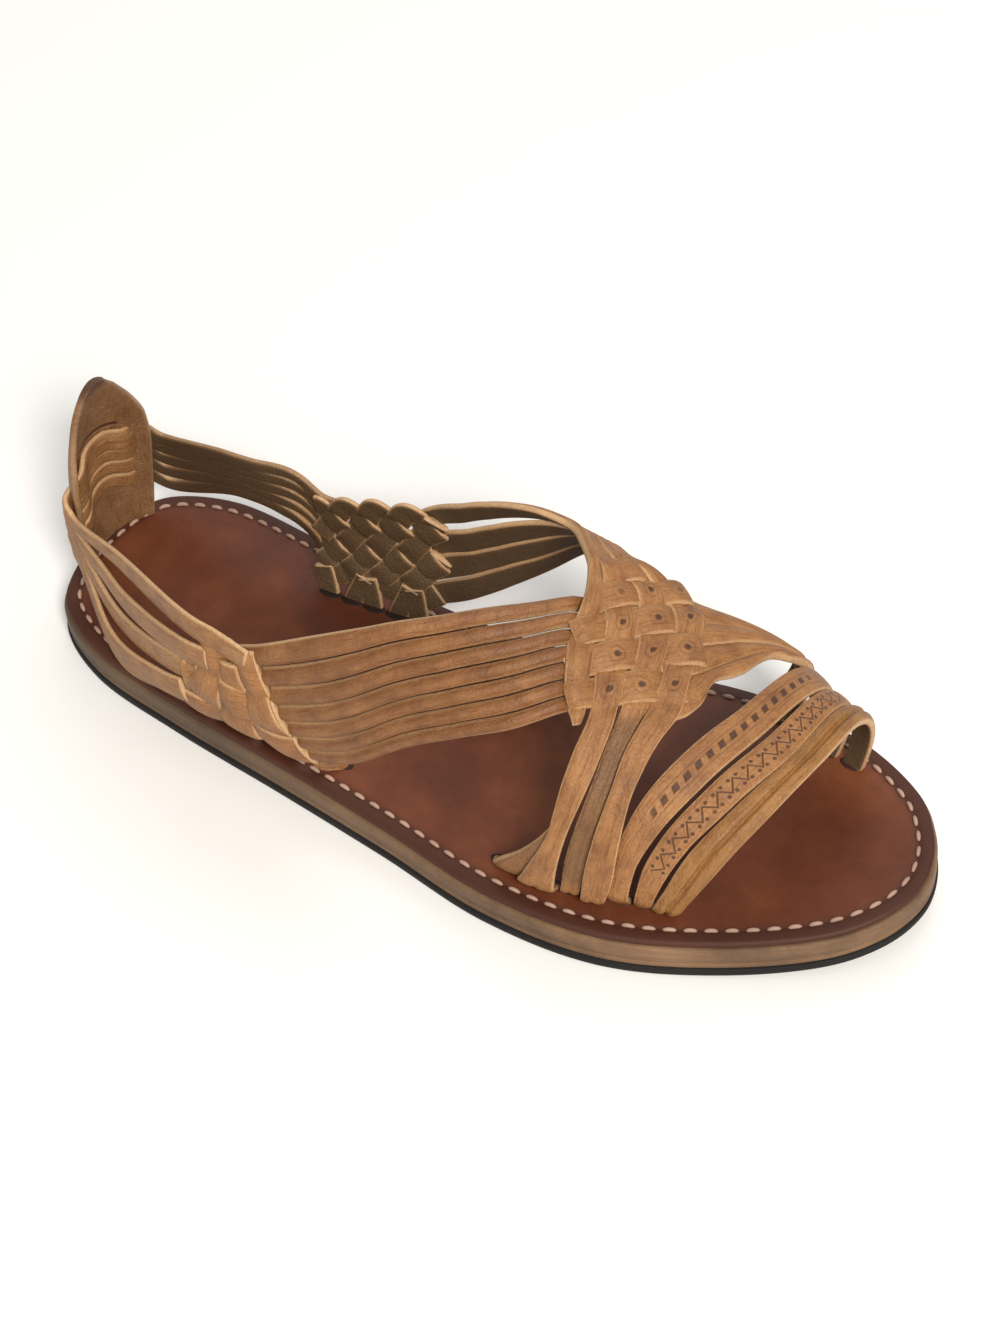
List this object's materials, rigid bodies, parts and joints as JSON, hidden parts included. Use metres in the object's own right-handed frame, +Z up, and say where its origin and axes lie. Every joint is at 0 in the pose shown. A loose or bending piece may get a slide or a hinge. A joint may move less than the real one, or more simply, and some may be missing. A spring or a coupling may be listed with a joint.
{
  "type": "huarache sandal",
  "caption": "Woven leather huarache sandal with a crossed, plaited strap upper, slotted footbed, leather midsole, rubber outsole and a leaf-shaped heel tab.",
  "frame": {"origin": "on the floor, under the middle of the sole's length and on the sole's drawing line", "axes": "+X to the wearer's right (the outer side of this right shoe), +Y from heel to toe, +Z up"},
  "size_m": [0.1012, 0.2797, 0.08],
  "materials": {
    "sole_rubber": "matt black rubber sheet",
    "midsole_leather": "buffed edge of a tan leather sole",
    "footbed_leather": "smooth, waxed, red-brown",
    "strap_leather": "tan strap leather with pale cut edges",
    "tab_leather": "tan leather, darker at the rim"
  },
  "bodies": {
    "root": {"outsole": "sole_rubber", "midsole": "midsole_leather", "insole": "footbed_leather", "upper": "strap_leather", "heel_tab": "tab_leather"}
  },
  "joints": []
}
